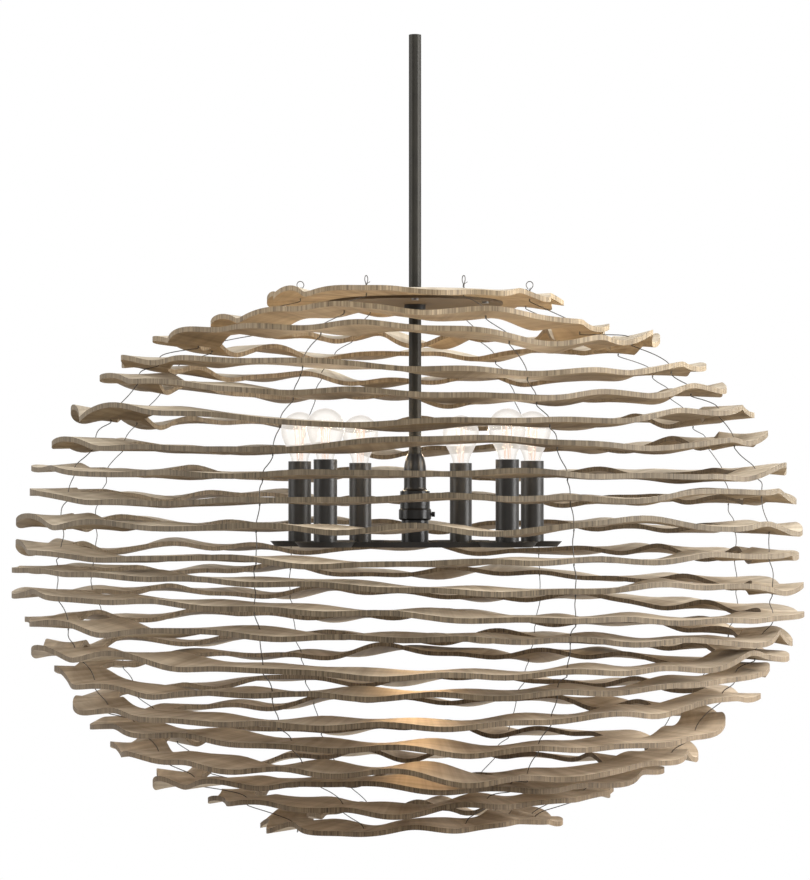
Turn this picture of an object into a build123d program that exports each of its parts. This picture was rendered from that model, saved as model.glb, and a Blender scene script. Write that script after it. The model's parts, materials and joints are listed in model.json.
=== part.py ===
from build123d import *
import math
import os

# Pendant light: a shade of wavy wooden rings on wires round a six-lamp cluster.
# Millimetres, +Z up, origin at the centre of the down rod's top end.
# Angles are counted from the front (-Y), positive towards the right (+X).

# Down rod
ROD_RADIUS = 6.35
ROD_WALL = 1.4
SHADE_DROP = 538.0
ROD_FIT = 0.1
ROD_SEAT = 6.0

# Shade: ring k lies on an ellipsoid whose middle is SHADE_DROP below the rod's top
RING_COUNT = 22
RING_PITCH = 25.4
SHADE_RADIUS = 403.0
SHADE_POLE = 20.3
RING_WIDTH = 46.0
RING_THICKNESS = 5.0
RING_LEAN = 4.0

# How far each ring's outline departs from the ellipsoid, from the top ring down,
# and how far each ring hangs to the right of the rod
RING_TRIMS = [-1, -17, -10, -5, -13, -7, -9, -1, -5, -4, -7, -4, 0, -5, -2, -8, -4, -9, -5, -7, -14, 2]
RING_SHIFTS = [0, -5, -8, -4, 0, -3, -6, -3, -5, -5, -7, -9, -5, -8, -5, -1, -1, -6, -11, -8, -3, -4]

# Waves: rise of each ring's outer edge over its level, at equal steps over the front half,
# from the left end of the ring through the front to its right end, in parts of the ring pitch
WAVE_PARTS = 25
RING_WAVES = [
    [0, 1, 2, 2, 0, 0, 2, 0, -3, -4, -4, -2, -1, -3, -2, -2, -1],
    [3, 2, -2, 0, 2, 4, 7, 3, -2, 0, 2, -2, -4, -7, -7, -7, -6],
    [9, 7, 5, 10, 9, 8, 7, 9, 6, 3, -3, -6, -2, 2, 6, 8, 9],
    [11, 9, 9, 4, 3, 1, -2, -5, -10, -11, -12, -10, -8, -1, 2, 4, 7],
    [20, 18, 16, 10, 4, 0, -8, -3, -10, -9, -11, -6, -4, 1, 6, 8, 9],
    [10, 8, 6, 7, 6, -3, -7, -12, -10, -7, -8, -5, 2, 5, 10, 9, 10],
    [6, 4, 3, -2, -6, -7, -9, -5, 0, 1, -3, -6, -3, 1, 5, 9, 10],
    [5, 4, 2, -3, -4, -6, -6, -5, -6, -4, -7, -6, -9, -6, 2, 3, 4],
    [6, 6, 4, -3, -6, -6, -3, -5, 0, -3, -2, -3, 4, 6, 3, 0, 0],
    [2, 2, 3, 0, -2, -3, -2, -6, -2, -9, 2, 2, -2, -4, -5, -6, -6],
    [0, 1, 2, -9, -5, -6, -6, -11, -9, -8, -7, -8, -4, -5, -5, -7, -8],
    [3, 5, 5, 4, 3, 1, -1, -3, -8, -9, -10, -5, -6, -12, -14, -15, -15],
    [5, 6, 8, 6, 5, 4, 1, -2, -4, -9, -9, -11, -14, -15, -13, -16, -17],
    [2, 4, 5, 4, 0, 5, 2, 0, 1, -2, -3, -5, -9, -10, -10, -13, -14],
    [-2, 0, 0, 3, 2, -3, -3, -8, -7, -9, -5, -8, -6, 0, -2, -6, -9],
    [3, 2, -3, -4, -6, -3, -2, -1, -2, -2, 0, -1, 3, 3, 4, 3, 2],
    [-3, 0, -4, -3, -4, -5, -5, -3, -5, -3, 0, 2, 2, 9, 7, 2, 0],
    [-2, 1, 3, 3, 3, 2, -2, -1, -2, -6, -3, -6, -3, -8, 0, 5, 5],
    [-1, 2, 3, -1, 4, -4, 2, -2, 0, -11, -7, -7, -6, 0, -2, -5, -5],
    [-9, -7, -3, 2, 5, 5, 10, 12, 6, 6, 3, 4, 2, 4, 7, 5, 2],
    [-3, 0, 3, 5, 5, 8, 4, 2, 5, 9, 9, 10, 9, 9, 9, 6, 3],
    [-2, -2, 0, 2, 3, 3, 3, 4, 8, 9, 8, 8, 9, 9, 5, 1, -1],
]
BACK_WAVE = 4.5
BACK_WAVE_COUNT = 4.3
BACK_RIPPLE = 2.4
FRONT_RIPPLE = 2.4
RIPPLE_LENGTH = 112.0
SIDE_WAVE = 4.5
SIDE_WAVE_COUNT = 14
RING_PHASE = 2.4
LEFT_END_ANGLE = -90.0

# Short waves on top of these: twist of the band, calmer at the front, and scallops of its outlines
TWIST = 2.6
TWIST_WAVES = 13
TWIST_PHASE = 1.1
FRONT_CALM = 0.7
BAND_LAG = 0.5
SCALLOP = 4.5
SCALLOP_WAVES = 14
INNER_SCALLOP = 3.0
INNER_SCALLOP_WAVES = 11
CURVE_POINTS = 128

# Suspension wires
WIRE_COUNT = 8
WIRE_RADIUS = 0.45
WIRE_HOLE_CLEARANCE = 0.6
WIRE_PASS = 4.5
WIRE_SLACK = 4.0
WIRE_STEM = 2.5
EYE_RADIUS = 4.0
EYE_SIDES = 8
WIRE_TAIL = 5.0

# Carrier disc under the flat inner band of the top ring
DISC_LAP = 16.0
DISC_THICKNESS = 2.5
DISC_SEAT_GAP = 0.1
TOP_RING_WIDTH = 74.0
TOP_RING_FLAT = 50.0
CARRIER_SCREW_COUNT = 6
CARRIER_SCREW_RADIUS = 1.8
CARRIER_SCREW_HEAD_RADIUS = 3.6
CARRIER_SCREW_HEAD_HEIGHT = 1.8
SCREW_FIT = 0.15
COLLAR_RADIUS = 11.0
COLLAR_HEIGHT = 10.0
COLLAR_EDGE = 1.0
COLLAR_SEAT = 0.4
BUSH_RADIUS = 8.5
BUSH_PROUD = 0.5
BUSH_FIT = 0.1

# Lamp plate: a shallow pan with a lobe under each lamp
PLATE_RISE = 14.0
PLATE_DEPTH = 5.5
PLATE_WALL = 1.5
PLATE_FLARE = 5.0
LOBE_RADIUS = 25.5
LOBE_REACH = 20.0
LAMP_CIRCLE = 120.0
LAMP_ANGLES = [-98, -48, 50, 87, 156, -151]
PLATE_SCREW_COUNT = 3
PLATE_SCREW_CIRCLE = 11.3
PLATE_SCREW_RADIUS = 1.0
PLATE_SCREW_LENGTH = 8.0
PLATE_SCREW_HEAD_RADIUS = 2.0
PLATE_SCREW_HEAD_DEPTH = 1.0

# Hub, from the pan's floor up
HUB_BASE_RADIUS = 13.8
HUB_BASE_HEIGHT = 25.5
HUB_COLLAR_RADIUS = 16.6
HUB_COLLAR_HEIGHT = 12.0
HUB_COLLAR_EDGE = 1.5
HUB_BODY_RADIUS = 15.2
HUB_BODY_HEIGHT = 17.0
HUB_NECK_RADIUS = 11.3
HUB_NECK_HEIGHT = 18.0
HUB_SKIRT_HEIGHT = 5.0
HUB_SKIRT_EDGE = 0.5
BELL_HEIGHT = 21.0
BELL_RADIUS = 11.4
BELL_LIP = 3.0
BELL_TOP_WALL = 1.2
HUB_CAVITY_RADIUS = 9.0
HUB_ROOF = 8.0

# Thumb screw of the hub's collar
KNOB_RADIUS = 2.6
KNOB_LENGTH = 3.5
KNOB_GAP = 0.3
KNOB_SHANK_RADIUS = 1.5
KNOB_FIT = 0.05
KNOB_FLUTES = 8
KNOB_FLUTE_RADIUS = 0.4

# Lamps
SLEEVE_RADIUS = 11.75
SLEEVE_WALL = 1.0
SLEEVE_HEIGHT = 86.0
SOCKET_RADIUS = 10.4
SOCKET_FOOT_RADIUS = 5.0
SOCKET_FOOT_HEIGHT = 16.0
SOCKET_HEIGHT = 42.0
SOCKET_BORE = 7.0
SOCKET_BORE_DEPTH = 24.0
CAP_RADIUS = 6.7
CAP_LENGTH = 23.0
CAP_TIP_RADIUS = 3.0
CAP_TIP = 2.0
CAP_FLOOR_GAP = 0.3
CAP_ROLLS = 5
CAP_ROLL_DEPTH = 0.5
CAP_FLANGE = 1.0
STEM_RADIUS = 2.2
STEM_HEIGHT = 20.0
GLASS_RADIUS = 19.3
GLASS_NECK_RADIUS = 8.6
GLASS_WALL = 0.7
GLASS_RISE = 51.0
GLASS_NECK_PULL = 10.0
GLASS_BELLY_PULL = 12.0
GLASS_SEAT = 0.05

# Leads inside the rod and along the pan
LEAD_RADIUS = 0.9
LEAD_TOP_GAP = 40.0
LEAD_HOLE_RADIUS = 1.5
LEAD_BED = 0.2

STATIONS = 2 * (len(RING_WAVES[0]) - 1)
STATION_STEP = 360.0 / STATIONS
FRONT_LAST = len(RING_WAVES[0]) - 1
SHADE_MIDDLE = -SHADE_DROP
SHADE_HALF_HEIGHT = (RING_COUNT - 1) / 2 * RING_PITCH + SHADE_POLE
WAVE_UNIT = RING_PITCH / WAVE_PARTS
PLATE_RADIUS = LAMP_CIRCLE - LOBE_REACH
PAN_FLOOR = SHADE_MIDDLE + PLATE_RISE + PLATE_WALL
HUB_COLLAR_FOOT = PAN_FLOOR + HUB_BASE_HEIGHT
HUB_BODY_FOOT = HUB_COLLAR_FOOT + HUB_COLLAR_HEIGHT
HUB_NECK_FOOT = HUB_BODY_FOOT + HUB_BODY_HEIGHT
BELL_FOOT = HUB_NECK_FOOT + HUB_NECK_HEIGHT
ROD_BORE = ROD_RADIUS - ROD_WALL
ROD_FOOT = HUB_NECK_FOOT - ROD_SEAT
SOCKET_FOOT_TOP = PAN_FLOOR + SOCKET_FOOT_HEIGHT
SOCKET_TOP = SOCKET_FOOT_TOP + SOCKET_HEIGHT
CAP_FOOT = SOCKET_TOP - SOCKET_BORE_DEPTH + CAP_FLOOR_GAP + CAP_TIP
CAP_TOP = CAP_FOOT + CAP_LENGTH
SLEEVE_TOP = PAN_FLOOR + SLEEVE_HEIGHT
LEAD_SPREAD = ROD_BORE - LEAD_RADIUS - LEAD_BED
GLASS_TOP = SLEEVE_TOP + GLASS_RISE


def polar(angle, radius, z=0.0):
    """Point at an angle from the front, positive towards the right."""
    turn = math.radians(angle)
    return Vector(radius * math.sin(turn), -radius * math.cos(turn), z)


def ring_level(k):
    """Height of ring k, counted from the top."""
    return SHADE_MIDDLE + ((RING_COUNT + 1) / 2 - k) * RING_PITCH


def ring_radius(k):
    """Outer radius of ring k on the ellipsoid."""
    height = (ring_level(k) - SHADE_MIDDLE) / SHADE_HALF_HEIGHT
    return SHADE_RADIUS * math.sqrt(1 - height**2) + RING_TRIMS[k - 1]


def frontness(station):
    """1 at the front of a ring, 0 at its left and right ends and -1 at the back."""
    return math.sin(2 * math.pi * station / STATIONS)


def station_rise(k, station):
    """Rise of ring k's band at a whole station, counted from the ring's left end."""
    front = RING_WAVES[k - 1]
    station = station % STATIONS
    if station <= FRONT_LAST:
        return front[station]
    share = (station - FRONT_LAST) / (STATIONS - FRONT_LAST)
    ripple = math.sin(2 * math.pi * BACK_WAVE_COUNT * share + RING_PHASE * k)
    joined = front[FRONT_LAST] * (1 - share) + front[0] * share
    return joined + BACK_WAVE * math.sin(math.pi * share) * ripple


def wave(k, station):
    """Rise of ring k's band between stations, on a smooth curve through their rises."""
    low = math.floor(station)
    share = station - low
    before, start, end, after = [station_rise(k, low + step) for step in (-1, 0, 1, 2)]
    bend = 2 * before - 5 * start + 4 * end - after
    swing = 3 * (start - end) + after - before
    return start + share * (end - before + share * (bend + share * swing)) / 2


def short_wave(k, station, count, phase):
    return math.sin(count * 2 * math.pi * station / STATIONS + phase * k)


def band_rise(k, station):
    """Rise of ring k's band with its ripples, at the front stronger in lower rings, and its end waves."""
    facing = frontness(station)
    front = FRONT_RIPPLE * (k - 1) / (RING_COUNT - 1) * max(0.0, facing)
    count = round(2 * math.pi * ring_radius(k) / RIPPLE_LENGTH)
    ripple = (front + BACK_RIPPLE * max(0.0, -facing)) * short_wave(k, station, count, RING_PHASE)
    side = SIDE_WAVE * (1 - facing**2) * math.sin(RING_PHASE * k) * short_wave(k, station, SIDE_WAVE_COUNT, 0)
    return wave(k, station) + ripple + side


def band_twist(k, station):
    """Rise of ring k's outer edge over the middle of its band."""
    calm = 1 - FRONT_CALM * max(0.0, frontness(station))
    return TWIST * calm * short_wave(k, station, TWIST_WAVES, TWIST_PHASE)


def outer_rise(k, station):
    """Rise of ring k's outer edge."""
    return WAVE_UNIT * (band_rise(k, station) + band_twist(k, station))


def inner_rise(k, station):
    """Rise of ring k's inner edge: the wave lags, the twist is opposite, the ring leans."""
    if k == 1:
        return 0.0
    lean = RING_LEAN * (ring_level(k) - SHADE_MIDDLE) / SHADE_HALF_HEIGHT
    return WAVE_UNIT * (band_rise(k, station - BAND_LAG) - band_twist(k, station)) - lean


def ring_shift(k, station):
    """How far ring k's shift to the right moves its outline out at a station."""
    return RING_SHIFTS[k - 1] * math.sin(math.radians(station_angle(station)))


def outer_radius(k, station):
    """Scalloped outer outline of ring k."""
    scallop = SCALLOP * short_wave(k, station, SCALLOP_WAVES, RING_PHASE)
    return ring_radius(k) + ring_shift(k, station) + scallop


def inner_radius(k, station):
    """Scalloped inner outline of ring k, plain on the top ring."""
    if k == 1:
        return ring_radius(k) - TOP_RING_WIDTH
    inner = ring_radius(k) - RING_WIDTH
    scallop = INNER_SCALLOP * short_wave(k, station, INNER_SCALLOP_WAVES, RING_PHASE)
    return inner + ring_shift(k, station) + scallop


def station_angle(station):
    return station * STATION_STEP + LEFT_END_ANGLE


def loop(radius_of, rise_of):
    """Closed smooth curve round a ring."""
    points = []
    for index in range(CURVE_POINTS):
        station = index * STATIONS / CURVE_POINTS
        points.append(polar(station_angle(station), radius_of(station), rise_of(station)))
    return Edge.make_spline(points, periodic=True, parameters=list(range(CURVE_POINTS + 1)))


def solid_between(loops):
    """Solid bounded by the ruled faces between each closed curve and the next."""
    faces = []
    for first, second in zip(loops, loops[1:] + loops[:1]):
        faces.append(Face.make_surface_from_curves(first, second))
    solid = Solid(Shell(faces))
    return solid if solid.volume > 0 else Solid(Shell([-face for face in faces]))


def cylinder(radius, bottom, top, at=(0, 0)):
    """Upright cylinder between two heights."""
    foot = (at[0], at[1], bottom)
    return Pos(*foot) * Cylinder(radius, top - bottom, align=(Align.CENTER, Align.CENTER, Align.MIN))


def tube(radius, bore, bottom, top, at=(0, 0)):
    return cylinder(radius, bottom, top, at) - cylinder(bore, bottom, top, at)


def turned(profile, at=(0, 0)):
    """Solid of revolution of a closed (radius, height) outline."""
    face = make_face(Polyline([(r, 0, z) for r, z in profile], close=True))
    return Pos(at[0], at[1], 0) * revolve(face, Axis.Z)


def wire_angle(wire):
    return (wire + 0.5) * 360.0 / WIRE_COUNT


def wire_station(wire):
    return (wire_angle(wire) - LEFT_END_ANGLE) / STATION_STEP


def wire_circle(k):
    """Radius at which the wires pass through ring k."""
    return ring_radius(k) - RING_WIDTH / 2


def wire_level(k, wire):
    """Height of ring k's middle surface where a wire passes, on the top ring at the rim of its flat."""
    if k == 1:
        return ring_level(k)
    station = wire_station(wire)
    return ring_level(k) + (outer_rise(k, station) + inner_rise(k, station)) / 2


def make_ring(k):
    """Wavy wooden ring with the holes for the wires."""
    level = ring_level(k)
    half = RING_THICKNESS / 2
    outer_top = loop(lambda s: outer_radius(k, s), lambda s: level + outer_rise(k, s) + half)
    outer_bottom = loop(lambda s: outer_radius(k, s), lambda s: level + outer_rise(k, s) - half)
    inner_top = loop(lambda s: inner_radius(k, s), lambda s: level + inner_rise(k, s) + half)
    inner_bottom = loop(lambda s: inner_radius(k, s), lambda s: level + inner_rise(k, s) - half)
    loops = [outer_bottom, outer_top, inner_top, inner_bottom]
    if k == 1:
        flat = ring_radius(k) - TOP_RING_WIDTH + TOP_RING_FLAT
        flat_top = loop(lambda s: flat, lambda s: level + half)
        flat_bottom = loop(lambda s: flat, lambda s: level - half)
        loops = [outer_bottom, outer_top, flat_top, inner_top, inner_bottom, flat_bottom]
    holes = []
    for wire in range(WIRE_COUNT):
        spot = polar(wire_angle(wire), wire_circle(k))
        bore = WIRE_RADIUS + WIRE_HOLE_CLEARANCE
        holes.append(cylinder(bore, level - RING_PITCH, level + RING_PITCH, (spot.X, spot.Y)))
    if k == 1:
        for spot in carrier_screw_spots():
            bore = CARRIER_SCREW_RADIUS + SCREW_FIT
            holes.append(cylinder(bore, level - RING_PITCH, level + RING_PITCH, spot))
    return solid_between(loops) - holes


def disc_top():
    return ring_level(1) - RING_THICKNESS / 2 - DISC_SEAT_GAP


def disc_radius():
    return ring_radius(1) - TOP_RING_WIDTH + DISC_LAP


def carrier_screw_circle():
    return disc_radius() - DISC_LAP / 2


def carrier_screw_spots():
    spots = []
    for index in range(CARRIER_SCREW_COUNT):
        spot = polar(index * 360.0 / CARRIER_SCREW_COUNT, carrier_screw_circle())
        spots.append((spot.X, spot.Y))
    return spots


def make_wire(wire):
    """Suspension wire: eye above the top ring, upright through each ring, slack between."""
    route = []
    eye_middle = wire_level(1, wire) + WIRE_PASS + WIRE_STEM + EYE_RADIUS
    for side in range(EYE_SIDES, 0, -1):
        turn = 2 * math.pi * (side - 0.5) / EYE_SIDES - math.pi / 2
        route.append((EYE_RADIUS * math.cos(turn) + wire_circle(1), eye_middle + EYE_RADIUS * math.sin(turn)))
    for k in range(1, RING_COUNT + 1):
        level = wire_level(k, wire)
        foot = WIRE_TAIL if k == RING_COUNT else WIRE_PASS
        route.append((wire_circle(k), level + WIRE_PASS))
        route.append((wire_circle(k), level - foot))
        if k < RING_COUNT:
            middle = (wire_circle(k) + wire_circle(k + 1)) / 2
            height = (level + wire_level(k + 1, wire)) / 2
            route.append((middle + WIRE_SLACK * math.sin(RING_PHASE * k + wire), height))
    points = [polar(wire_angle(wire), r, z) for r, z in route]
    path = Polyline(points)
    start = Plane(origin=points[0], z_dir=points[1] - points[0])
    return sweep(start * Circle(WIRE_RADIUS), path=path, transition=Transition.RIGHT)


def make_carrier_disc():
    top = disc_top()
    disc = tube(disc_radius(), BUSH_RADIUS + BUSH_FIT, top - DISC_THICKNESS, top)
    for spot in carrier_screw_spots():
        disc -= cylinder(CARRIER_SCREW_RADIUS + SCREW_FIT, top - DISC_THICKNESS, top, spot)
    return disc


def make_carrier_screws():
    """Round-headed screws up through the disc into the top ring."""
    under = disc_top() - DISC_THICKNESS
    end = ring_level(1) + RING_THICKNESS / 2
    screws = []
    for spot in carrier_screw_spots():
        shank = cylinder(CARRIER_SCREW_RADIUS, under, end, spot)
        head = cylinder(CARRIER_SCREW_HEAD_RADIUS, under - CARRIER_SCREW_HEAD_HEIGHT, under, spot)
        screws.append(shank + head)
    return Compound(children=screws)


def bush_top():
    return disc_top() + BUSH_PROUD


def make_stop_collar():
    """Collar in a shallow neck of the rod, with the bush that the carrier disc turns on."""
    top = disc_top() - DISC_THICKNESS
    bottom = top - COLLAR_HEIGHT
    bore = ROD_RADIUS - COLLAR_SEAT
    profile = [
        (bore, bottom),
        (COLLAR_RADIUS - COLLAR_EDGE, bottom),
        (COLLAR_RADIUS, bottom + COLLAR_EDGE),
        (COLLAR_RADIUS, top),
        (BUSH_RADIUS, top),
        (BUSH_RADIUS, bush_top()),
        (bore, bush_top()),
    ]
    return turned(profile)


def lamp_spot(lamp):
    spot = polar(LAMP_ANGLES[lamp], LAMP_CIRCLE)
    return (spot.X, spot.Y)


def flared(radius, bottom, top, flare, at=(0, 0)):
    """Upright cone that widens by a flare over its height."""
    height = top - bottom
    foot = Pos(at[0], at[1], bottom)
    return foot * Cone(radius, radius + flare, height, align=(Align.CENTER, Align.CENTER, Align.MIN))


def pan_form(inset, bottom, top):
    """Six lobes round a disc, with sides that flare upwards."""
    flare = PLATE_FLARE * (top - bottom) / PLATE_DEPTH
    form = flared(PLATE_RADIUS - inset, bottom, top, flare)
    for lamp in range(len(LAMP_ANGLES)):
        form += flared(LOBE_RADIUS - inset, bottom, top, flare, lamp_spot(lamp))
    return form


def plate_screw_spots():
    spots = []
    for index in range(PLATE_SCREW_COUNT):
        spot = polar(index * 360.0 / PLATE_SCREW_COUNT, PLATE_SCREW_CIRCLE)
        spots.append((spot.X, spot.Y))
    return spots


def plate_screw(spot, fit=0.0):
    """Countersunk screw from below, or with a fit the hole for it."""
    bottom = SHADE_MIDDLE + PLATE_RISE
    screw = cylinder(PLATE_SCREW_RADIUS + fit, bottom, bottom + PLATE_SCREW_LENGTH + fit, spot)
    taper = PLATE_SCREW_RADIUS - PLATE_SCREW_HEAD_RADIUS
    head = flared(PLATE_SCREW_HEAD_RADIUS + fit, bottom, bottom + PLATE_SCREW_HEAD_DEPTH, taper, spot)
    return screw + head


def make_lamp_plate():
    bottom = SHADE_MIDDLE + PLATE_RISE
    top = bottom + PLATE_DEPTH
    plate = pan_form(0.0, bottom, top) - pan_form(PLATE_WALL, PAN_FLOOR, top + PLATE_WALL)
    for spot in plate_screw_spots():
        plate -= plate_screw(spot, SCREW_FIT)
    return plate


def make_plate_screws():
    return Compound(children=[plate_screw(spot) for spot in plate_screw_spots()])


def make_hub_base():
    base = tube(HUB_BASE_RADIUS, HUB_CAVITY_RADIUS, PAN_FLOOR, HUB_COLLAR_FOOT)
    for spot in plate_screw_spots():
        base -= plate_screw(spot, SCREW_FIT)
    for lamp in range(len(LAMP_ANGLES)):
        base -= lead_run(lamp, LEAD_HOLE_RADIUS)
    return base


def make_hub_collar():
    bottom = HUB_COLLAR_FOOT
    top = HUB_BODY_FOOT
    profile = [
        (HUB_CAVITY_RADIUS, bottom),
        (HUB_COLLAR_RADIUS - HUB_COLLAR_EDGE, bottom),
        (HUB_COLLAR_RADIUS, bottom + HUB_COLLAR_EDGE),
        (HUB_COLLAR_RADIUS, top - HUB_COLLAR_EDGE),
        (HUB_COLLAR_RADIUS - HUB_COLLAR_EDGE, top),
        (HUB_CAVITY_RADIUS, top),
    ]
    bore = Pos(0, 0, knob_level()) * Rot(0, 90, 0) * Cylinder(
        KNOB_SHANK_RADIUS + KNOB_FIT,
        HUB_COLLAR_RADIUS,
        align=(Align.CENTER, Align.CENTER, Align.MIN),
    )
    return turned(profile) - bore


def knob_level():
    return HUB_COLLAR_FOOT + HUB_COLLAR_HEIGHT / 2


def make_hub_screw():
    """Fluted thumb screw along +X."""
    lift = (Align.CENTER, Align.CENTER, Align.MIN)
    shank_length = HUB_COLLAR_RADIUS + KNOB_GAP - HUB_CAVITY_RADIUS
    screw = Pos(0, 0, HUB_CAVITY_RADIUS) * Cylinder(KNOB_SHANK_RADIUS, shank_length, align=lift)
    head = Cylinder(KNOB_RADIUS, KNOB_LENGTH, align=lift)
    for flute in range(KNOB_FLUTES):
        spot = polar(flute * 360.0 / KNOB_FLUTES, KNOB_RADIUS)
        head -= Pos(spot.X, spot.Y, 0) * Cylinder(KNOB_FLUTE_RADIUS, KNOB_LENGTH, align=lift)
    screw += Pos(0, 0, HUB_COLLAR_RADIUS + KNOB_GAP) * head
    return Pos(0, 0, knob_level()) * Rot(0, 90, 0) * screw


def make_hub_body():
    """Turned body with the threaded seat of the rod in its roof."""
    bottom = HUB_BODY_FOOT
    top = HUB_NECK_FOOT
    roof = top - HUB_ROOF
    profile = [
        (HUB_CAVITY_RADIUS, bottom),
        (HUB_BODY_RADIUS, bottom),
        (HUB_BODY_RADIUS, top),
        (ROD_RADIUS, top),
        (ROD_RADIUS, ROD_FOOT),
        (ROD_BORE, ROD_FOOT),
        (ROD_BORE, roof),
        (HUB_CAVITY_RADIUS, roof),
    ]
    return turned(profile)


def make_hub_neck():
    bottom = HUB_NECK_FOOT
    bore = ROD_RADIUS + ROD_FIT
    with BuildPart() as neck:
        with BuildSketch(Plane.XZ):
            with BuildLine():
                side = Line((HUB_NECK_RADIUS, BELL_FOOT), (HUB_NECK_RADIUS, bottom + HUB_SKIRT_HEIGHT))
                flare = TangentArc(side @ 1, (HUB_BODY_RADIUS, bottom + HUB_SKIRT_EDGE), tangent=side % 1)
                Polyline(flare @ 1, (HUB_BODY_RADIUS, bottom), (bore, bottom), (bore, BELL_FOOT), side @ 0)
            make_face()
        revolve(axis=Axis.Z)
    return neck.part


def make_bell_cap():
    """Domed cap round the rod."""
    bore = ROD_RADIUS + ROD_FIT
    top = BELL_FOOT + BELL_HEIGHT
    with BuildPart() as bell:
        with BuildSketch(Plane.XZ):
            with BuildLine():
                lip = Line((BELL_RADIUS, BELL_FOOT), (BELL_RADIUS, BELL_FOOT + BELL_LIP))
                dome = TangentArc(lip @ 1, (bore + BELL_TOP_WALL, top), tangent=lip % 1)
                Polyline(dome @ 1, (bore, top), (bore, BELL_FOOT), lip @ 0)
            make_face()
        revolve(axis=Axis.Z)
    return bell.part


def make_down_rod():
    rod = tube(ROD_RADIUS, ROD_BORE, ROD_FOOT, 0.0)
    neck_foot = disc_top() - DISC_THICKNESS - COLLAR_HEIGHT
    return rod - tube(COLLAR_RADIUS, ROD_RADIUS - COLLAR_SEAT, neck_foot, bush_top())


def lead_run(lamp, radius):
    """Straight run along the pan's floor from the hub's cavity into a sleeve."""
    level = PAN_FLOOR + LEAD_BED + LEAD_RADIUS
    start = polar(LAMP_ANGLES[lamp], HUB_CAVITY_RADIUS - LEAD_RADIUS, level)
    end = polar(LAMP_ANGLES[lamp], LAMP_CIRCLE - SOCKET_FOOT_RADIUS - LEAD_RADIUS, level)
    run = Plane(origin=start, z_dir=end - start)
    return run * Cylinder(radius, (end - start).length, align=(Align.CENTER, Align.CENTER, Align.MIN))


def make_lead_wires():
    leads = []
    for side in (-1, 1):
        leads.append(cylinder(LEAD_RADIUS, HUB_COLLAR_FOOT, -LEAD_TOP_GAP, (side * LEAD_SPREAD, 0)))
    for lamp in range(len(LAMP_ANGLES)):
        leads.append(lead_run(lamp, LEAD_RADIUS))
    return Compound(children=leads)


def make_sleeve(lamp):
    sleeve = tube(SLEEVE_RADIUS, SLEEVE_RADIUS - SLEEVE_WALL, PAN_FLOOR, SLEEVE_TOP, lamp_spot(lamp))
    return sleeve - lead_run(lamp, LEAD_HOLE_RADIUS)


def make_socket(lamp):
    """Lamp holder on a round foot, with the bore for the bulb's cap."""
    bore_floor = SOCKET_TOP - SOCKET_BORE_DEPTH
    profile = [
        (0, PAN_FLOOR),
        (SOCKET_FOOT_RADIUS, PAN_FLOOR),
        (SOCKET_FOOT_RADIUS, SOCKET_FOOT_TOP),
        (SOCKET_RADIUS, SOCKET_FOOT_TOP),
        (SOCKET_RADIUS, SOCKET_TOP),
        (SOCKET_BORE, SOCKET_TOP),
        (SOCKET_BORE, bore_floor),
        (0, bore_floor),
    ]
    return turned(profile, lamp_spot(lamp))


def make_bulb_base(lamp):
    """Screw cap with rolled thread, contact tip, flange and the stem that holds the filament."""
    roll = (CAP_LENGTH - CAP_FLANGE) / (2 * CAP_ROLLS + 1)
    profile = [(0, CAP_FOOT - CAP_TIP), (CAP_TIP_RADIUS, CAP_FOOT - CAP_TIP), (CAP_TIP_RADIUS, CAP_FOOT)]
    for step in range(2 * CAP_ROLLS + 1):
        radius = CAP_RADIUS - CAP_ROLL_DEPTH * (step % 2)
        profile.append((radius, CAP_FOOT + step * roll))
    profile += [(CAP_RADIUS, CAP_TOP - CAP_FLANGE), (GLASS_NECK_RADIUS, CAP_TOP - CAP_FLANGE)]
    profile += [(GLASS_NECK_RADIUS, CAP_TOP), (STEM_RADIUS, CAP_TOP)]
    profile += [(STEM_RADIUS, CAP_TOP + STEM_HEIGHT), (0, CAP_TOP + STEM_HEIGHT)]
    return turned(profile, lamp_spot(lamp))


def glass_form(inset):
    """Pear-shaped envelope on the cap, narrow at the neck and round at the top."""
    neck = GLASS_NECK_RADIUS - inset
    belly = GLASS_RADIUS - inset
    top = GLASS_TOP - inset
    crown = GLASS_TOP - GLASS_RADIUS
    shoulder = SLEEVE_TOP - GLASS_WALL
    with BuildPart() as form:
        with BuildSketch(Plane.XZ):
            with BuildLine():
                foot = Line((0, CAP_TOP + GLASS_SEAT), (neck, CAP_TOP + GLASS_SEAT))
                shank = Line(foot @ 1, (neck, shoulder))
                pear = Bezier(
                    shank @ 1,
                    (neck, shoulder + GLASS_NECK_PULL),
                    (belly, crown - GLASS_BELLY_PULL),
                    (belly, crown),
                )
                dome = RadiusArc(pear @ 1, (0, top), -belly)
                Line(dome @ 1, foot @ 0)
            make_face()
        revolve(axis=Axis.Z)
    return form.part


def make_bulb_glass(lamp):
    spot = lamp_spot(lamp)
    envelope = glass_form(0.0) - glass_form(GLASS_WALL)
    return Pos(spot[0], spot[1], 0) * envelope


def save(node, shape):
    export_step(shape, os.path.join("parts", node + ".step"))


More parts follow.
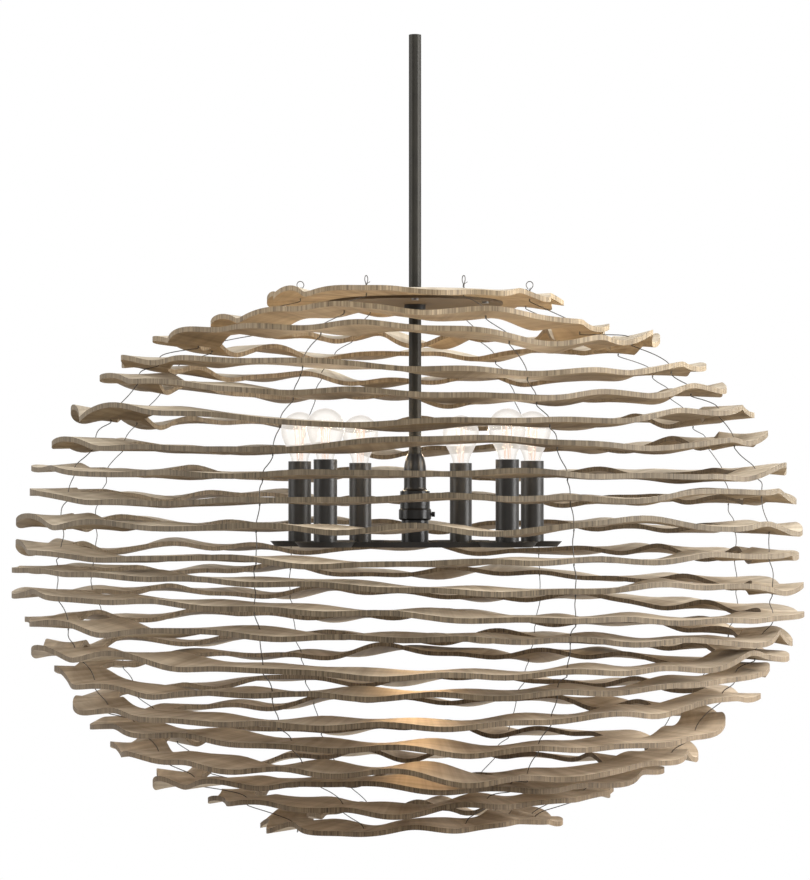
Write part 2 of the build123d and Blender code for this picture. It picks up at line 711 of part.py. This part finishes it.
def main():
    os.makedirs("parts", exist_ok=True)
    for k in range(1, RING_COUNT + 1):
        save(f"ring_{k:02d}", make_ring(k))
    save("suspension_wires", Compound(children=[make_wire(wire) for wire in range(WIRE_COUNT)]))
    save("carrier_disc", make_carrier_disc())
    save("carrier_screws", make_carrier_screws())
    save("stop_collar", make_stop_collar())
    save("down_rod", make_down_rod())
    save("bell_cap", make_bell_cap())
    save("hub_neck", make_hub_neck())
    save("hub_body", make_hub_body())
    save("hub_collar", make_hub_collar())
    save("hub_screw", make_hub_screw())
    save("hub_base", make_hub_base())
    save("lamp_plate", make_lamp_plate())
    save("plate_screws", make_plate_screws())
    save("lead_wires", make_lead_wires())
    for lamp in range(len(LAMP_ANGLES)):
        number = lamp + 1
        save(f"sleeve_{number}", make_sleeve(lamp))
        save(f"socket_{number}", make_socket(lamp))
        save(f"bulb_base_{number}", make_bulb_base(lamp))
        save(f"bulb_glass_{number}", make_bulb_glass(lamp))


main()
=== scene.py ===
import bpy
import json
import math
from collections import Counter
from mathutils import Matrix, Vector

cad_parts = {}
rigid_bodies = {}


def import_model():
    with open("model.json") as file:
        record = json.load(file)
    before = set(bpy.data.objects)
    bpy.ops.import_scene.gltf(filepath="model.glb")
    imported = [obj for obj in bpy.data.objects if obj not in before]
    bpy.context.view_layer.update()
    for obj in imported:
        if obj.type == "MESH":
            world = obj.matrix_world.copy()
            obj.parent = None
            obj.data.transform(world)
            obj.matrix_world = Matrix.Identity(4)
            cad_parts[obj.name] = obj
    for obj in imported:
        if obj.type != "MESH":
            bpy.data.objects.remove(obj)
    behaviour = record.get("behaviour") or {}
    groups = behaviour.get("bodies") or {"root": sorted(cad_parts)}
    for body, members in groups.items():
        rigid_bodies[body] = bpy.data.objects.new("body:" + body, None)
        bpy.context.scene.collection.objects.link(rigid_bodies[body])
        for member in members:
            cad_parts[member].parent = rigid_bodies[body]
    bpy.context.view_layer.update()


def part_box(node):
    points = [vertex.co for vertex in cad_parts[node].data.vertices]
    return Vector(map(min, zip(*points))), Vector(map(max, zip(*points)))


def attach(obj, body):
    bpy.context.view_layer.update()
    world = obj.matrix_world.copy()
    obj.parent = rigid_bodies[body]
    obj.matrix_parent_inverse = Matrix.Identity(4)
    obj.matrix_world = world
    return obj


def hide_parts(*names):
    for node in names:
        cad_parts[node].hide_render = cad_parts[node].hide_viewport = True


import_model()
scene = bpy.context.scene

# Places and counts shared with the solids, lengths in metres
SHADE_MIDDLE = -0.538
RINGS = [f"ring_{k:02d}" for k in range(1, 23)]
LAMP_CIRCLE = 0.120
LAMP_ANGLES = [-98, -48, 50, 87, 156, -151]
STEM_TOP = SHADE_MIDDLE + 0.0948
GLASS_TOP = SHADE_MIDDLE + 0.1525
WIRE_COUNT = 8
EYE_CORNERS = 8
WIRE_CORNERS = EYE_CORNERS + 3 * len(RINGS) - 1

# Camera: level, with the photo's framing, in pixels of the photo, the sensor in millimetres
METRES_PER_PIXEL = 0.0010245
CAMERA_PIXELS = 2700.0
PICTURE_WIDTH = 810.0
PICTURE_HEIGHT = 880.0
HORIZON = 515.0
AXIS_X = 415.0
ROD_TOP = 35.0
SENSOR = 36.0

# Wood: noise scales per metre, the worn edge in metres and degrees
TICK_SCALE = 640.0
LATH_SCALE = 300.0
STRIP_SCALE = 75.0
GRAIN_ACROSS = 90.0
GRAIN_ALONG = 9.0
STAIN_SCALE = 11.0
# Painted light: the number of top rings over which the paler cut edges fade
PAINTED_LIGHT_RINGS = 6.0
LAST_COOL_RING = 10
WORN_EDGE = 0.0012
WORN_ANGLE = 50

# Thin pieces, lengths in metres
FILAMENT_RADIUS = 0.00026
FILAMENT_TURNS = 9
POST_RADIUS = 0.0007
WIRE_RADIUS = 0.00045
KNOT_RADIUS = 0.00032
SAME_CORNER = 0.0016
WIRE_LEAD = Vector((0, 0, 0.0015))
KNOT_DROP = Vector((0, 0, 0.0033))

# Light and floor: powers in watts, each glow with its drop and power, lengths in metres
LAMP_POWER = 0.27
LAMP_COLOUR = (1.0, 0.78, 0.52)
GLOW_COLOUR = (1.0, 0.62, 0.30)
GLOW_ANGLE = 17
GLOW_REACH = -0.33
GLOWS = [(-0.115, 3.0), (-0.18, 2.9), (-0.27, 2.3)]
WORLD_STRENGTH = 0.34
FLOOR_HALF = 6.0
FLOOR_LEVEL = -2.7


def node_object(name):
    for obj in bpy.data.objects:
        if obj.name == name and obj.type == "MESH":
            return obj
    raise RuntimeError(name)


def place_object(name, data):
    obj = bpy.data.objects.new(name, data)
    scene.collection.objects.link(obj)
    return obj


class Tree:
    """Short ways to add nodes to the shader tree of one material or of the world."""

    def __init__(self, owner):
        self.owner = owner
        owner.use_nodes = True
        self.nodes = owner.node_tree.nodes
        self.links = owner.node_tree.links
        self.shader = self.nodes.get("Principled BSDF")

    def add(self, kind, inputs=(), **settings):
        node = self.nodes.new(kind)
        for key, value in settings.items():
            setattr(node, key, value)
        for key, value in dict(inputs).items():
            self.feed(node.inputs[key], value)
        return node

    def feed(self, socket, value):
        if isinstance(value, bpy.types.NodeSocket):
            self.links.new(value, socket)
        else:
            socket.default_value = value

    def math(self, operation, first, second=0.0):
        return self.add("ShaderNodeMath", {0: first, 1: second}, operation=operation).outputs[0]

    def spread(self, value, source, target):
        """The value, mapped from the source range to the target range."""
        inputs = {0: value, 1: source[0], 2: source[1], 3: target[0], 4: target[1]}
        return self.add("ShaderNodeMapRange", inputs).outputs[0]

    def ramp(self, value, stops):
        node = self.add("ShaderNodeValToRGB", {"Fac": value})
        ramp = node.color_ramp
        while len(ramp.elements) < len(stops):
            ramp.elements.new(0.5)
        for element, (place, colour) in zip(ramp.elements, stops):
            element.position = place
            element.color = (*colour, 1.0)
        return node.outputs["Color"]

    def noise(self, vector, scale, detail, rough):
        inputs = {"Vector": vector, "Scale": scale, "Detail": detail, "Roughness": rough}
        return self.add("ShaderNodeTexNoise", inputs).outputs["Fac"]

    def mix(self, share, first, second, blend="MIX"):
        node = self.add("ShaderNodeMix", data_type="RGBA", blend_type=blend)
        self.feed(node.inputs[0], share)
        self.feed(node.inputs[6], first)
        self.feed(node.inputs[7], second)
        return node.outputs[2]

    def bump(self, height, strength, distance):
        inputs = {"Height": height, "Strength": strength, "Distance": distance}
        self.set(Normal=self.add("ShaderNodeBump", inputs).outputs["Normal"])

    def place(self):
        return self.add("ShaderNodeTexCoord").outputs["Object"]

    def seen(self):
        """1 for rays that show the background: from the camera, off gloss or through glass."""
        path = self.add("ShaderNodeLightPath").outputs
        seen = self.math("MAXIMUM", path["Is Camera Ray"], path["Is Glossy Ray"])
        return self.math("MAXIMUM", seen, path["Is Transmission Ray"])

    def set(self, **values):
        for key, value in values.items():
            self.feed(self.shader.inputs[key.replace("_", " ")], value)


def new_tree(name):
    return Tree(bpy.data.materials.new(name))


def toned(stops, shares):
    """The stops of a ramp, with each part of a colour taken by its share."""
    return [(place, tuple(share * part for share, part in zip(shares, colour))) for place, colour in stops]


def driftwood(name, number, ring_radius):
    """Greyed wood in fine upright strips that show as ticks on the cut edges.

    The cut edges are paler on the top rings, a painted light from above; the undersides are darker and
    warmer, a painted shade with the lamps' warm light painted in; and the colour turns warmer on the low
    rings.
    """
    t = new_tree(name)
    place = t.place()
    x, y, _ = t.add("ShaderNodeSeparateXYZ", {0: place}).outputs
    radius = t.math("SQRT", t.math("ADD", t.math("MULTIPLY", x, x), t.math("MULTIPLY", y, y)))
    around = t.add("ShaderNodeCombineXYZ", {
        0: t.math("DIVIDE", x, radius),
        1: t.math("DIVIDE", y, radius),
        2: number * 0.37,
    }).outputs[0]
    normal = t.add("ShaderNodeNewGeometry").outputs["True Normal"]
    up = t.add("ShaderNodeSeparateXYZ", {0: normal}).outputs["Z"]
    broad = t.spread(t.math("ABSOLUTE", up), (0.5, 0.8), (0.0, 1.0))
    # Painted shade: the share of each downward face that takes the darker, warmer underside tones
    under = t.spread(up, (0.1, -0.5), (0.0, 1.0))

    ticks = t.noise(around, ring_radius * TICK_SCALE, 2.0, 0.75)
    laths = t.noise(around, ring_radius * LATH_SCALE, 2.0, 0.6)
    strips = t.noise(around, ring_radius * STRIP_SCALE, 3.0, 0.6)
    streaks = t.add("ShaderNodeCombineXYZ", {
        0: t.math("MULTIPLY", radius, GRAIN_ACROSS),
        1: t.math("MULTIPLY", x, GRAIN_ALONG),
        2: t.math("MULTIPLY", y, GRAIN_ALONG),
    }).outputs[0]
    grain = t.noise(streaks, 1.0, 4.0, 0.6)
    stains = t.noise(place, STAIN_SCALE, 3.0, 0.6)

    warm = max(0.0, (number - LAST_COOL_RING) / (len(RINGS) - LAST_COOL_RING))
    face_tones = [(0.3, (0.346, 0.286, 0.211)), (0.5, (0.455, 0.389, 0.296)), (0.7, (0.572, 0.499, 0.392))]
    # Underside tones: painted shade, with the lamps' warm light painted in
    underside_shade_tones = [(0.3, (0.215, 0.158, 0.094)), (0.5, (0.285, 0.215, 0.134)), (0.7, (0.355, 0.275, 0.178))]
    grain_tones = [(0.3, (0.66, 0.63, 0.6)), (0.7, (1.22, 1.22, 1.21))]
    face_shares = (1.0 + 0.06 * warm, 1.0 - 0.02 * warm, 1.0 - 0.07 * warm)
    face = t.mix(under, t.ramp(strips, toned(face_tones, face_shares)), t.ramp(strips, underside_shade_tones))
    face = t.mix(0.72, face, t.ramp(grain, grain_tones), "MULTIPLY")

    # Painted light: the cut edges of the top rings are paler, as if lit from above, fading over the first
    # rings
    pale_painted_light = 0.66 + 0.64 * max(0.0, 1.0 - (number - 1) / PAINTED_LIGHT_RINGS)
    edge_shares = (pale_painted_light * (1.0 + 0.14 * warm), pale_painted_light * (1.0 + 0.03 * warm), pale_painted_light * (0.93 - 0.07 * warm))
    tick_tones = [(0.33, (0.05, 0.036, 0.022)), (0.47, (0.145, 0.107, 0.069)), (0.65, (0.29, 0.226, 0.155))]
    lath_tones = [(0.35, (0.10, 0.074, 0.049)), (0.65, (0.225, 0.174, 0.121))]
    tick_colour = t.ramp(ticks, toned(tick_tones, edge_shares))
    lath_colour = t.ramp(laths, toned(lath_tones, edge_shares))
    edge = t.mix(0.35, tick_colour, lath_colour)

    stain_tones = [(0.3, (0.84, 0.82, 0.8)), (0.7, (1.08, 1.08, 1.08))]
    colour = t.mix(1.0, t.mix(broad, edge, face), t.ramp(stains, stain_tones), "MULTIPLY")
    t.set(Base_Color=colour, Roughness=0.66, Specular_IOR_Level=0.3)
    relief = t.math("ADD", t.math("MULTIPLY", ticks, 0.7), t.math("MULTIPLY", grain, 0.6))
    t.bump(relief, 0.45, 0.0004)
    return t.owner


def dark_metal(name, low, high, rough, gloss):
    """Painted or darkened metal with slight cloudiness and fine brush marks."""
    t = new_tree(name)
    place = t.place()
    cloud = t.noise(place, 38.0, 3.0, 0.6)
    fine = t.noise(place, 900.0, 2.0, 0.6)
    t.set(
        Base_Color=t.ramp(cloud, [(0.3, low), (0.7, high)]),
        Roughness=t.spread(cloud, (0.0, 1.0), (rough - 0.06, rough + 0.08)),
        Metallic=0.35,
        Specular_IOR_Level=gloss,
    )
    t.bump(fine, 0.12, 0.0001)
    return t.owner


def plain(name, low, high, scale, rough, metallic=0.0):
    """A simple surface with slight spots."""
    t = new_tree(name)
    spots = t.noise(t.place(), scale, 3.0, 0.6)
    t.set(Base_Color=t.ramp(spots, [(0.3, low), (0.7, high)]), Roughness=rough, Metallic=metallic)
    t.bump(spots, 0.1, 0.0001)
    return t.owner


def clear_glass(name):
    """Thin clear glass with the glow of the lit filament painted on as emission, greyer at its outline as
    painted shade.
    """
    t = new_tree(name)
    waves = t.noise(t.place(), 60.0, 2.0, 0.5)
    rim = t.add("ShaderNodeLayerWeight", {"Blend": 0.35}).outputs["Facing"]
    t.set(
        Base_Color=(0.02, 0.02, 0.02, 1.0),
        Roughness=0.06,
        Specular_IOR_Level=0.2,
        Alpha=t.spread(rim, (0.2, 0.6), (0.2, 0.52)),
        Emission_Color=t.ramp(rim, [(0.2, (0.95, 0.90, 0.84)), (0.58, (0.60, 0.57, 0.54))]),
        Emission_Strength=0.95,
    )
    t.bump(waves, 0.05, 0.0002)
    return t.owner


def glowing(name, colour):
    """A lit filament, or the post that holds it, which glows as painted light."""
    t = new_tree(name)
    spots = t.noise(t.place(), 300.0, 2.0, 0.5)
    t.set(
        Base_Color=t.ramp(spots, [(0.3, (0.02, 0.01, 0.006)), (0.7, (0.03, 0.018, 0.01))]),
        Roughness=0.5,
        Specular_IOR_Level=0.0,
        Emission_Color=colour,
        Emission_Strength=1.0,
    )
    return t.owner


def cover(name, material):
    obj = node_object(name)
    obj.data.materials.clear()
    obj.data.materials.append(material)
    return obj


def dress_rings():
    for number, name in enumerate(RINGS, start=1):
        low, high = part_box(name)
        obj = cover(name, driftwood(f"driftwood_{number:02d}", number, (high[0] - low[0]) / 2))
        bevel = obj.modifiers.new("worn_edge", "BEVEL")
        bevel.width = WORN_EDGE
        bevel.segments = 2
        bevel.limit_method = "ANGLE"
        bevel.angle_limit = math.radians(WORN_ANGLE)


def dress_others(wire):
    """Materials of all the solids that are not rings."""
    bronze = dark_metal("dark_bronze", (0.026, 0.024, 0.022), (0.038, 0.036, 0.032), 0.5, 0.3)
    sleeve = dark_metal("sleeve_bronze", (0.015, 0.0136, 0.0118), (0.021, 0.019, 0.0166), 0.38, 0.45)
    rod = dark_metal("rod_bronze", (0.012, 0.0105, 0.008), (0.019, 0.0168, 0.0125), 0.44, 0.2)
    black = dark_metal("carrier_black", (0.02, 0.019, 0.018), (0.03, 0.028, 0.026), 0.5, 0.3)
    brown = dark_metal("carrier_brown", (0.075, 0.054, 0.033), (0.115, 0.084, 0.053), 0.6, 0.2)
    hub = dark_metal("hub_bronze", (0.005, 0.0045, 0.004), (0.009, 0.008, 0.007), 0.29, 0.4)
    screw = plain("screw_steel", (0.10, 0.095, 0.09), (0.2, 0.19, 0.18), 200.0, 0.35, 0.9)
    lead = plain("lead_cover", (0.03, 0.027, 0.024), (0.045, 0.04, 0.036), 120.0, 0.6)
    holder = plain("holder_black", (0.02, 0.02, 0.02), (0.035, 0.034, 0.033), 90.0, 0.55)
    cap = plain("cap_brass", (0.5, 0.36, 0.16), (0.66, 0.5, 0.26), 120.0, 0.3, 1.0)
    glass = clear_glass("bulb_clear")
    single = {
        "lamp_plate": bronze,
        "down_rod": rod,
        "carrier_disc": brown,
        "stop_collar": black,
        "carrier_screws": screw,
        "plate_screws": screw,
        "suspension_wires": wire,
        "lead_wires": lead,
    }
    for name in ("bell_cap", "hub_neck", "hub_body", "hub_collar", "hub_screw", "hub_base"):
        single[name] = hub
    for name, material in single.items():
        cover(name, material)
    for number in range(1, len(LAMP_ANGLES) + 1):
        cover(f"sleeve_{number}", sleeve)
        cover(f"socket_{number}", holder)
        cover(f"bulb_base_{number}", cap)
        cover(f"bulb_glass_{number}", glass).visible_shadow = False


def polar(angle, radius, z):
    turn = math.radians(angle)
    return Vector((radius * math.sin(turn), -radius * math.cos(turn), z))


def curve_piece(name, runs, radius, material, body):
    """Round wires along the given point runs."""
    data = bpy.data.curves.new(name, "CURVE")
    data.dimensions = "3D"
    data.bevel_depth = radius
    data.bevel_resolution = 2
    data.resolution_u = 6
    for points in runs:
        spline = data.splines.new("NURBS")
        spline.points.add(len(points) - 1)
        for spot, point in zip(spline.points, points):
            spot.co = (*point, 1.0)
        spline.order_u = 3
        spline.use_endpoint_u = True
    obj = place_object(name, data)
    data.materials.append(material)
    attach(obj, body)
    return obj


def filament_points(middle, angle, low, high):
    """A hairpin strand that goes up and down round the bulb's axis, wider at the top."""
    strand = []
    for step in range(FILAMENT_TURNS):
        turn = math.radians(step * 360.0 / FILAMENT_TURNS + angle)
        reach, level, side = (0.003, low, -1) if step % 2 == 0 else (0.0056, high, 1)
        for lift in (0.0, 0.0015):
            bend = turn + lift * 60
            x, y = reach * math.cos(bend), reach * math.sin(bend)
            strand.append(middle + Vector((x, y, level + side * lift)))
    return strand


def filaments():
    """Hairpin filament and its glass post in each bulb, with a warm lamp light."""
    amber = glowing("filament_amber", (0.93, 0.60, 0.42, 1.0))
    # Painted glow: the glass post shines with its own emission, standing for the filament's light on it
    pale_painted_light = glowing("filament_post", (0.97, 0.88, 0.80, 1.0))
    low = STEM_TOP + 0.008
    high = GLASS_TOP - 0.013
    for number, angle in enumerate(LAMP_ANGLES, start=1):
        body = f"bulb_{number}"
        middle = polar(angle, LAMP_CIRCLE, 0.0)
        strand = filament_points(middle, angle, low, high)
        curve_piece(f"filament_{number}", [strand], FILAMENT_RADIUS, amber, body)
        post = [
            middle + Vector((0, 0, STEM_TOP - 0.002)),
            middle + Vector((0.0003, 0, (low + high) / 2)),
            middle + Vector((0, 0, high - 0.002)),
        ]
        curve_piece(f"filament_post_{number}", [post], POST_RADIUS, pale_painted_light, body)
        light = bpy.data.lights.new(f"lamp_{number}", "POINT")
        light.energy = LAMP_POWER
        light.color = LAMP_COLOUR
        light.shadow_soft_size = 0.009
        lamp = place_object(f"lamp_{number}", light)
        lamp.location = middle + Vector((0, 0, GLASS_TOP - 0.022))


def wire_corners():
    """Corner centres of each suspension wire, from the top down, read from the rims of its solid's runs."""
    mesh = node_object("suspension_wires").data
    uses = Counter(key for polygon in mesh.polygons for key in polygon.edge_keys)
    rims = sorted({index for key, count in uses.items() if count == 1 for index in key})
    groups = {}
    for index in rims:
        x, y, z = mesh.vertices[index].co
        number = int(math.degrees(math.atan2(x, -y)) % 360 // (360 / WIRE_COUNT))
        groups.setdefault(number, []).append(Vector((x, y, z)))
    wires = []
    for number in sorted(groups):
        centres = []
        for spot in sorted(groups[number], key=lambda v: -v.z):
            for centre in centres[-4:]:
                if (centre[0] / centre[1] - spot).length < SAME_CORNER:
                    centre[0] += spot
                    centre[1] += 1
                    break
            else:
                centres.append([spot.copy(), 1])
        wires.append([total / count for total, count in centres])
    return wires


def winding(foot, reach, rise, steps):
    """Points of a few turns wound round an upright wire."""
    turns = []
    for step in range(steps):
        turn = step * math.pi / 3
        turns.append(foot + Vector((reach * math.cos(turn), reach * math.sin(turn), rise * step)))
    return turns


def round_eye(eye, middle, outward):
    """The corners of an eye in order round its middle, starting below it."""
    def turn(spot):
        return (-math.pi / 2 - math.atan2(spot.z - middle.z, (spot - middle).dot(outward))) % math.tau
    return sorted(eye, key=turn)


def smooth_wires(material):
    """The suspension wires as smooth lines, with a wound stem at each eye and a knot under each ring.

    The straight runs of the solid stay if its corners are not as expected.
    """
    lines = []
    knots = []
    wires = wire_corners()
    if len(wires) != WIRE_COUNT or any(len(corners) != WIRE_CORNERS for corners in wires):
        return
    for corners in wires:
        eye = corners[:EYE_CORNERS]
        passes = corners[EYE_CORNERS:]
        middle = sum(eye, Vector()) / len(eye)
        outward = Vector((middle.x, middle.y, 0.0)).normalized()
        line = round_eye(eye, middle, outward)
        for first in range(0, len(passes), 3):
            upper, lower = passes[first:first + 2]
            line += [upper, lower]
            if passes[first + 2:]:
                line += [lower - WIRE_LEAD, passes[first + 2]]
            knots.append(winding((upper + lower) / 2 - KNOT_DROP, 0.0006, -0.00016, 11))
        lines.append(line)
        tail = winding(passes[0] - WIRE_LEAD, 0.0009, 0.00024, 16)
        side = Vector((-outward.y, outward.x, 0.0))
        tail += [tail[-1] + 0.002 * side, tail[-1] + 0.005 * side + Vector((0, 0, 0.002))]
        knots.append(tail)
    line = curve_piece("wire_lines", lines, WIRE_RADIUS, material, "shade")
    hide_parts("suspension_wires")
    curve_piece("wire_knots", knots, KNOT_RADIUS, material, "shade")


def camera():
    data = bpy.data.cameras.new("camera")
    data.sensor_width = SENSOR
    data.lens = SENSOR * CAMERA_PIXELS / PICTURE_HEIGHT
    data.shift_x = (PICTURE_WIDTH / 2 - AXIS_X) / PICTURE_HEIGHT
    data.shift_y = (HORIZON - PICTURE_HEIGHT / 2) / PICTURE_HEIGHT
    data.clip_end = 50.0
    obj = place_object("camera", data)
    obj.location = (0.0, -CAMERA_PIXELS * METRES_PER_PIXEL, -(HORIZON - ROD_TOP) * METRES_PER_PIXEL)
    obj.rotation_euler = (math.radians(90), 0, 0)
    scene.camera = obj


def look_along(direction):
    return direction.to_track_quat("-Z", "Y").to_euler()


def area_light(name, place, size, energy, colour):
    """A soft light that looks at the middle of the shade."""
    light = bpy.data.lights.new(name, "AREA")
    light.shape = "RECTANGLE"
    light.size, light.size_y = size
    light.energy = energy
    light.color = colour
    obj = place_object(name, light)
    obj.location = place
    obj.rotation_euler = look_along(Vector((0, 0, SHADE_MIDDLE)) - Vector(place))
    obj.visible_camera = False
    return obj


def surroundings():
    """White where the background is seen, and a plain level of light for the surfaces."""
    scene.world = bpy.data.worlds.new("studio")
    t = Tree(scene.world)
    background = t.nodes["Background"]
    t.feed(background.inputs["Strength"], t.spread(t.seen(), (0.0, 1.0), (WORLD_STRENGTH, 1.0)))
    background.inputs["Color"].default_value = (1.0, 1.0, 1.0, 1.0)


def pale_floor():
    """A floor that keeps a soft shadow under the lamp and fades to white further out."""
    mesh = bpy.data.meshes.new("floor")
    corners = [(-1, -1), (1, -1), (1, 1), (-1, 1)]
    mesh.from_pydata([(x * FLOOR_HALF, y * FLOOR_HALF, FLOOR_LEVEL) for x, y in corners], [], [(0, 1, 2, 3)])
    floor = place_object("floor", mesh)
    t = new_tree("pale_floor")
    t.set(Base_Color=(0.86, 0.86, 0.86, 1.0), Roughness=0.8)
    white = t.add("ShaderNodeEmission", {"Color": (1, 1, 1, 1), "Strength": 1.0})
    distance = t.add("ShaderNodeVectorMath", {0: t.place()}, operation="LENGTH").outputs["Value"]
    share = t.math("MULTIPLY", t.seen(), t.spread(distance, (2.9, 5.8), (0.72, 1.0)))
    mixed = t.add("ShaderNodeMixShader", {0: share, 1: t.shader.outputs[0], 2: white.outputs[0]})
    t.links.new(mixed.outputs[0], t.nodes["Material Output"].inputs["Surface"])
    mesh.materials.append(t.owner)


def lights():
    """Soft light, strongest from the right, and the warm glow on the low front rings."""
    area_light("key_right", (2.4, -0.7, 0.1), (1.4, 1.8), 138.0, (0.98, 0.99, 1.0))
    rim = area_light("rim_right", (2.1, 1.1, -0.3), (1.0, 1.6), 134.0, (0.94, 0.97, 1.0))
    rim.visible_glossy = False
    area_light("fill_left", (-2.4, -0.6, 0.2), (1.4, 1.6), 50.0, (1.0, 1.0, 1.0))
    area_light("top", (0.0, -0.9, 1.6), (1.8, 1.8), 30.0, (1.0, 1.0, 0.98))
    area_light("front", (0.2, -2.9, 0.5), (2.0, 1.2), 24.0, (1.0, 1.0, 0.98))
    for number, (drop, energy) in enumerate(GLOWS, start=1):
        glow = bpy.data.lights.new(f"inner_glow_{number}", "SPOT")
        glow.energy = energy
        glow.color = GLOW_COLOUR
        glow.spot_size = math.radians(GLOW_ANGLE)
        glow.spot_blend = 1.0
        glow.shadow_soft_size = 0.02
        inner = place_object(f"inner_glow_{number}", glow)
        inner.location = (0.0, 0.0, SHADE_MIDDLE - 0.01)
        inner.rotation_euler = look_along(Vector((0.0, GLOW_REACH, drop)))


scene.view_settings.view_transform = "Standard"
camera()
surroundings()
pale_floor()
lights()
wire_steel = plain("wire_steel", (0.05, 0.044, 0.038), (0.1, 0.09, 0.08), 260.0, 0.45, 0.7)
dress_rings()
dress_others(wire_steel)
filaments()
smooth_wires(wire_steel)
